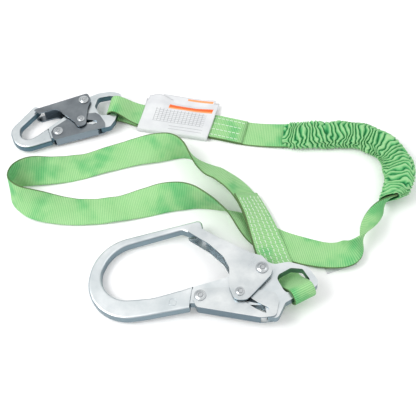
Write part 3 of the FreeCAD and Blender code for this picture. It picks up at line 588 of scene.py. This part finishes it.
def short_points():
    spot, out = bar_frame(*SNAP_HOOK, (101.5, -0.5), 60.0)
    lower = [(92.0, 94.3, 4.3, 0.0, WEB), (72.0, 95.6, 2.2, 0.0, WEB), (42.0, 99.2, 1.2, 0.0, WEB)]
    lower += [(8.0, 108.2, 1.9, 0.0, WEB), (-28.0, 115.2, 1.9, 0.0, WEB)]
    for distance, height, width in ((56.0, 1.9, WEB), (25.5, 1.9, 30.0), (16.0, 3.4, 26.0)):
        place = spot + out * distance
        lower.append((place.x, place.y, height, 0.0, width))
    turn = around_bar(spot, out, 7.6, 0.0)
    upper = [(p[0], p[1], p[2] + LAYER, 0.0, p[4]) for p in lower[-2:1:-1]]
    return lower + turn + upper


# ---------------------------------------------------------------- build
add_camera()
LONG = Band(long_points())
SHORT = Band(short_points())
green = webbing_material("green_webbing")
thread = plain_cloth("white_thread", (0.86, 0.90, 0.84), (0.62, 0.72, 0.60), 2500.0)
# Black cloth for the strip that stands in for the dark shade in the snap loop's gap.
loop_gap_shade_cloth = plain_cloth("black_liner", (0.02, 0.02, 0.022), (0.05, 0.05, 0.05))

leg = LONG.ribbon("leg_strap", green, PLY * MM, loose=(0.13, 0.76))
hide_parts("leg_webbing")
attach(leg, "webbing")
short = SHORT.ribbon("short_strap", green, PLY * MM)
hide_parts("short_webbing")
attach(short, "webbing")

# ---------------------------------------------------------------- shock pack
# x, y, roll and height of the gathered jacket's middle line; 17 is its full height.
JACKET_LINE = [
    (85.0, 94.9, 0.0, 7.0), (98.0, 93.0, 0.0, 13.0), (116.0, 90.6, 0.0, 17.0), (138.0, 92.4, 0.0, 17.0),
    (162.0, 92.4, 0.0, 17.0), (184.0, 86.0, 0.0, 17.0), (201.5, 70.0, 3.0, 17.0), (208.5, 47.0, 7.0, 17.0),
    (206.0, 27.0, 14.0, 17.0), (200.0, 13.5, 28.0, 11.0), (191.5, 2.5, 52.0, 8.4),
]
JACKET_WIDTH = 30.5


def jacket_points(width):
    points = []
    for x, y, roll, height in JACKET_LINE:
        flat = (38.0 - height) / 2
        points.append((x, y, flat * math.sin(math.radians(roll)) + height / 2 + 0.45, roll, width or height))
    return points


def fold_depth(run, turn):
    """How high the gathered cloth stands at a run and a turn round the jacket, 0 valley to 1 crest."""
    x, y = math.cos(turn), math.sin(turn)
    slow = noise.noise(Vector((run * 0.022, x * 0.45 + 3.0, y * 0.7)))
    quick = noise.noise(Vector((run * 0.09, x * 1.3, y * 1.9 + 7.0)))
    fine = noise.noise(Vector((run * 0.21, x * 2.6, y * 3.1 + 4.0)))
    phase = run / 4.7 + slow * 2.4 + quick * 1.0 + fine * 0.35 + 0.35 * x * math.sin(run * 0.07)
    return abs(math.sin(math.pi * phase)) ** 0.7


def build_jacket(material):
    wide = Band(jacket_points(JACKET_WIDTH))
    tall = Band(jacket_points(None))
    around = 104
    step = 0.5
    rows = int(wide.length / MM / step)
    vertices, places, crests = [], [], []
    for row in range(rows + 1):
        run = wide.length * row / rows
        for i in range(1, len(wide.run)):
            if wide.run[i] >= run:
                break
        share = (run - wide.run[i - 1]) / max(wide.run[i] - wide.run[i - 1], 1e-9)
        spot = wide.line[i - 1].lerp(wide.line[i], share)
        side = wide.across[i - 1].lerp(wide.across[i], share).normalized()
        face = wide.normal[i - 1].lerp(wide.normal[i], share).normalized()
        high = tall.half[i - 1] + (tall.half[i] - tall.half[i - 1]) * share
        at_mm = run / MM
        to_end = min(at_mm, wide.length / MM - at_mm)
        calm = min(1.0, 0.35 + to_end / 9.0)
        pinch = 1.0 - 0.09 * math.exp(-((at_mm - 1.0) / 5.0) ** 2)
        pinch -= 0.12 * math.exp(-((wide.length / MM - at_mm) / 8.0) ** 2)
        for k in range(around):
            turn = 2 * math.pi * k / around
            a, b = math.cos(turn), math.sin(turn)
            crest = fold_depth(at_mm, turn)
            swell = noise.noise(Vector((at_mm * 0.055, a * 1.4, b * 1.4)))
            lift = ((crest - 0.62) * 3.7 + swell * 2.8) * calm * MM
            out = abs(a) ** 0.72 * math.copysign(1.0, a) * wide.half[i] * pinch
            up = abs(b) ** 0.8 * math.copysign(1.0, b) * high
            push = (side * a + face * b).normalized()
            place = spot + side * out + face * up + push * lift
            place.z = max(place.z, 0.0003)
            vertices.append(place)
            places.append((run, 0.09 * k / around))
            crests.append(crest)
    faces, uvs = [], []
    for row in range(rows):
        for k in range(around):
            j = (k + 1) % around
            faces.append([row * around + k, row * around + j, (row + 1) * around + j, (row + 1) * around + k])
            last = 0.09 if j == 0 else places[row * around + j][1]
            near, far = places[row * around + k], places[(row + 1) * around + k]
            uvs.append([near, (near[0], last), (far[0], last), far])
    piece = new_mesh("gathered_jacket", vertices, faces, material, uvs)
    # The crest height is kept on the mesh so that the material can paint shade into the fold valleys.
    crest_layer = piece.data.attributes.new("crest", "FLOAT", "POINT")
    crest_layer.data.foreach_set("value", crests)
    shell = piece.modifiers.new("cloth", "SOLIDIFY")
    shell.thickness = 0.9 * MM
    shell.offset = -1.0
    return piece


jacket = build_jacket(jacket_material())
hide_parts("shock_jacket", "shock_core")
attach(jacket, "webbing")


# ---------------------------------------------------------------- label and tag
LABEL_START = Vector((-73.2, 122.9, 0.0)) * MM + SHIFT
LABEL_TURN = math.radians(-10.6)
LABEL_LONG = 80.6
TAG_LONG = 33.0
TAG_WIDE = 26.0


def cloth_grid(name, rows, material, uvs, thickness=0.4):
    """A sheet through rows of points, given thickness."""
    count = len(rows[0])
    vertices = [p for row in rows for p in row]
    flat = [p for row in uvs for p in row]
    faces, corners = [], []
    for i in range(len(rows) - 1):
        for k in range(count - 1):
            face = [i * count + k, i * count + k + 1, (i + 1) * count + k + 1, (i + 1) * count + k]
            faces.append(face)
            corners.append([flat[c] for c in face])
    piece = new_mesh(name, vertices, faces, material, corners)
    shell = piece.modifiers.new("sheet", "SOLIDIFY")
    shell.thickness = thickness * MM
    shell.offset = 0.0
    return piece


def label_place(x, y, z):
    turned_x = x * math.cos(LABEL_TURN) - y * math.sin(LABEL_TURN)
    turned_y = x * math.sin(LABEL_TURN) + y * math.cos(LABEL_TURN)
    return LABEL_START + Vector((turned_x, turned_y, z)) * MM


def build_label(material):
    """The folded label: under the strap, round its near edge, over it and down to the far edge."""
    profile = [(29.6, 0.5), (15.0, 0.45), (0.0, 0.45), (-14.0, 0.45), (-18.8, 0.5), (-20.4, 1.7),
               (-20.5, 4.6),
               (-19.0, 6.5), (-14.0, 6.75), (-4.0, 6.7), (8.0, 6.75), (16.0, 6.6), (21.0, 4.6), (25.0, 2.9),
               (29.9, 1.9)]
    line = smooth_line([Vector((0.0, y, z)) for y, z in profile], 5)
    runs = [0.0]
    for before, here in zip(line[:-1], line[1:]):
        runs.append(runs[-1] + (here - before).length)
    fold = min(range(len(line)), key=lambda i: line[i].y)
    steps = 52
    rows, uvs = [], []
    for i in range(steps + 1):
        share = i / steps
        row, places = [], []
        for spot, run in zip(line, runs):
            top = min(1.0, max(0.0, (run - runs[fold]) / (runs[-1] - runs[fold])))
            far = max(0.0, top - 0.5) / 0.5
            x = -3.6 + LABEL_LONG * share + top * (3.5 * (1 - share) + 5.0 * share * share)
            hump = 7.0 * math.exp(-((share - 0.16) / 0.15) ** 2) + 3.2 * max(0.0, share - 0.72) / 0.28
            dip = 1.0 * math.exp(-((share - 0.52) / 0.16) ** 2)
            lift = far ** 1.6 * (hump - dip) + top * 0.4 * math.sin(x * 0.16 + spot.y * 0.08)
            reach = far * far * (2.2 * math.exp(-((share - 0.16) / 0.2) ** 2) + 2.6 * share ** 6)
            row.append(label_place(x, spot.y + reach, max(spot.z + lift, 0.35)))
            places.append((LABEL_LONG * share * MM, (run - runs[fold]) * MM))
        rows.append(row)
        uvs.append(places)
    return cloth_grid("label_sheet", rows, material, uvs)


def build_leaf(material):
    """The loose back leaf of the label, curling up behind its far edge."""
    rows, uvs = [], []
    length, width = 62.0, 17.0
    for i in range(41):
        x = length * i / 40
        row, places = [], []
        for k in range(13):
            y = width * k / 12
            curl = 4.0 * (y / width) ** 2 * (x / length) ** 2
            rise = 2.6 + curl + 0.5 * math.sin(x * 0.1 + 0.6)
            row.append(label_place(13.0 + x + 0.12 * y, 20.5 + y - 0.03 * x, rise))
            places.append((x * MM, y * MM))
        rows.append(row)
        uvs.append(places)
    return cloth_grid("label_back_leaf", rows, material, uvs, 0.35)


def build_tag(material):
    """The small sewn tag that shows past the strap's near edge."""
    rows, uvs = [], []
    turn = math.radians(20.0)
    middle = Vector((132.5, -62.5, 0.0)) * MM + SHIFT
    for i in range(25):
        x = -TAG_LONG / 2 + TAG_LONG * i / 24
        row, places = [], []
        for k in range(17):
            y = -TAG_WIDE / 2 + TAG_WIDE * k / 16
            z = 0.35 + 0.25 * math.sin(x * 0.35) * (1 if y < 0 else 0.3)
            row.append(middle + Vector((x * math.cos(turn) - y * math.sin(turn),
                                        x * math.sin(turn) + y * math.cos(turn), z)) * MM)
            places.append(((x + TAG_LONG / 2) * MM, (y + TAG_WIDE / 2) * MM))
        rows.append(row)
        uvs.append(places)
    return cloth_grid("strap_tag", rows, material, uvs, 0.35)


LABEL_STRIP = (0.027, 0.0765, 0.0392, 0.0440)
LABEL_GRID = (0.014, 0.0715, 0.0165, 0.0352)
LEAF_STRIP = (0.030, 0.060, 0.0150, 0.0153)
label = build_label(label_material("label_paper", LABEL_STRIP, LABEL_GRID))
leaf = build_leaf(label_material("leaf_paper", LEAF_STRIP, None))
tag = build_tag(plain_cloth("tag_cloth", (0.66, 0.67, 0.68), (0.52, 0.53, 0.55)))
for piece, node in ((label, "label_wrap"), (leaf, "label_leaf"), (tag, "sewn_tag")):
    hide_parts(node)
    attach(piece, "webbing")

# ---------------------------------------------------------------- stitching and painted gap shade
leg_rows = thread_rows("leg_stitching", LONG, (-12.6, -7.4, -2.6, 3.0, 8.2, 12.6), LONG.length / MM - 104.0,
                       LONG.length / MM - 2.0, PLY / 2, thread, zigzag=0.35)
short_rows = thread_rows("short_stitching", SHORT, (-12.0, -4.0, 4.0, 12.0), SHORT.length / MM - 74.0,
                         SHORT.length / MM - 2.0, -PLY / 2, thread)
# A thin black strip between the plies of the snap hook's loop: painted shade for the dark gap there.
loop_gap_shade = SHORT.ribbon("loop_gap_shade_strip", loop_gap_shade_cloth, 0.8 * MM, 0.128, 0.198, width=0.0225, rise=-(PLY + 0.9) / 2 * MM)
for piece, node, slot in ((leg_rows, "rebar_loop_stitching", "white_thread"),
                          (short_rows, "snap_loop_stitching", "white_thread"),
                          (loop_gap_shade, "wear_liner", "black_liner")):
    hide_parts(node)
    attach(piece, "webbing")

# ---------------------------------------------------------------- metal
# The third colour of each metal is the painted shade for its sideways faces.
plated = metal_material("plated_forging", (0.90, 0.93, 0.94), (0.66, 0.72, 0.74), (0.20, 0.27, 0.31), 0.34)
pressed = metal_material("plated_sheet", (0.90, 0.93, 0.93), (0.62, 0.67, 0.69), (0.13, 0.19, 0.23), 0.30)
grey = metal_material("grey_sheet", (0.30, 0.33, 0.35), (0.16, 0.18, 0.20), (0.22, 0.27, 0.31), 0.30)
bright = metal_material("small_forging", (0.82, 0.86, 0.87), (0.60, 0.66, 0.68), (0.09, 0.16, 0.20), 0.30)
pins = metal_material("rivet_heads", (0.66, 0.69, 0.70), (0.45, 0.48, 0.50), (0.12, 0.14, 0.16), 0.25, 3.0)
wire = metal_material("spring_wire", (0.30, 0.31, 0.33), (0.16, 0.17, 0.18), (0.16, 0.17, 0.18), 0.35, 3.0)
METAL = {
    "rebar_hook_body": plated, "rebar_hook_gate": pressed, "rebar_lock_lever": pressed,
    "snap_hook_body": bright, "snap_hook_gate": grey, "snap_lock_lever": grey,
}
for kind in ("rebar", "snap"):
    for part in ("gate_pivot_rivet", "gate_slot_pin", "lock_pivot_rivet"):
        METAL["%s_%s" % (kind, part)] = pins
    for part in ("gate_spring", "lock_spring"):
        METAL["%s_%s" % (kind, part)] = wire


def dress(node, material):
    piece = bpy.data.objects[node]
    if not piece.material_slots:
        piece.data.materials.append(material)
    for slot in piece.material_slots:
        slot.material = material


for node, material in METAL.items():
    dress(node, material)


# ---------------------------------------------------------------- struck pad on the bow, and dark rivet rings as painted dimple shade
def raised_loop(name, host, outline, radius, material, body):
    """A thin closed bead on a part's upper face, through the outline's x, y points in metres."""
    part = bpy.data.objects[host]
    part.data.calc_loop_triangles()
    skin = BVHTree.FromPolygons([part.matrix_world @ v.co for v in part.data.vertices],
                                [tuple(t.vertices) for t in part.data.loop_triangles])
    spots = [skin.ray_cast(Vector((x, y, 0.2)), -UP)[0] for x, y in outline]
    around = 8
    vertices, faces = [], []
    for i, spot in enumerate(spots):
        ahead = (spots[(i + 1) % len(spots)] - spots[i - 1]).normalized()
        side = ahead.cross(UP).normalized()
        up = side.cross(ahead)
        for k in range(around):
            turn = 2 * math.pi * k / around
            vertices.append(spot + (side * math.cos(turn) + up * math.sin(turn) * 0.8) * radius)
    for i in range(len(spots)):
        n = (i + 1) % len(spots)
        for k in range(around):
            j = (k + 1) % around
            faces.append([i * around + k, i * around + j, n * around + j, n * around + k])
    bead = new_mesh(name, vertices, faces, material)
    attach(bead, body)


def oval(centre, half_long, half_wide, heading, power=1.0, count=40):
    """Points of a rounded outline; a power under 1 squares it off."""
    points = []
    for k in range(count):
        turn = 2 * math.pi * k / count
        a = math.copysign(abs(math.cos(turn)) ** power, math.cos(turn)) * half_long
        b = math.copysign(abs(math.sin(turn)) ** power, math.sin(turn)) * half_wide
        lean = math.radians(heading)
        points.append((centre[0] + (a * math.cos(lean) - b * math.sin(lean)) * MM,
                       centre[1] + (a * math.sin(lean) + b * math.cos(lean)) * MM))
    return points


def hook_spot(hook, x, y):
    return tilted(*hook, x, y) * MM + SHIFT


RIVET_BODY = {"gate_pivot_rivet": "gate", "gate_slot_pin": "gate", "lock_pivot_rivet": "lever"}
# Each rivet head gets a thin bead in the dark spring-wire finish: painted shade for the rivet's dimple.
for kind, ring in (("rebar", 2.3), ("snap", 1.7)):
    for rivet, body in RIVET_BODY.items():
        host = "%s_%s" % (kind, rivet)
        head = bpy.data.objects[host]
        corners = [head.matrix_world @ Vector(c) for c in head.bound_box]
        middle = sum(corners, Vector()) / 8
        raised_loop(host + "_ring", host, oval(middle, ring, ring, 0.0, 1.0, 24), 0.28 * MM, wire,
                    "%s_%s" % (kind, body))
square = oval(hook_spot(REBAR_HOOK, *BOW_PAD), 3.4, 3.4, REBAR_HOOK[1], 0.4)
raised_loop("bow_pad", "rebar_hook_body", square, 0.35 * MM, plated, "rebar_hook")


floor = new_mesh("floor", [(-3, -3, 0), (3, -3, 0), (3, 3, 0), (-3, 3, 0)], [[0, 1, 2, 3]], floor_material())
add_world(0.92)
add_area("key", (-1.1, -0.3, 1.3), (0.0, 0.0, 0.0), (0.9, 0.9), 17.0)
add_area("fill", (1.2, -0.3, 1.1), (0.0, 0.0, 0.0), (1.2, 1.2), 4.0)
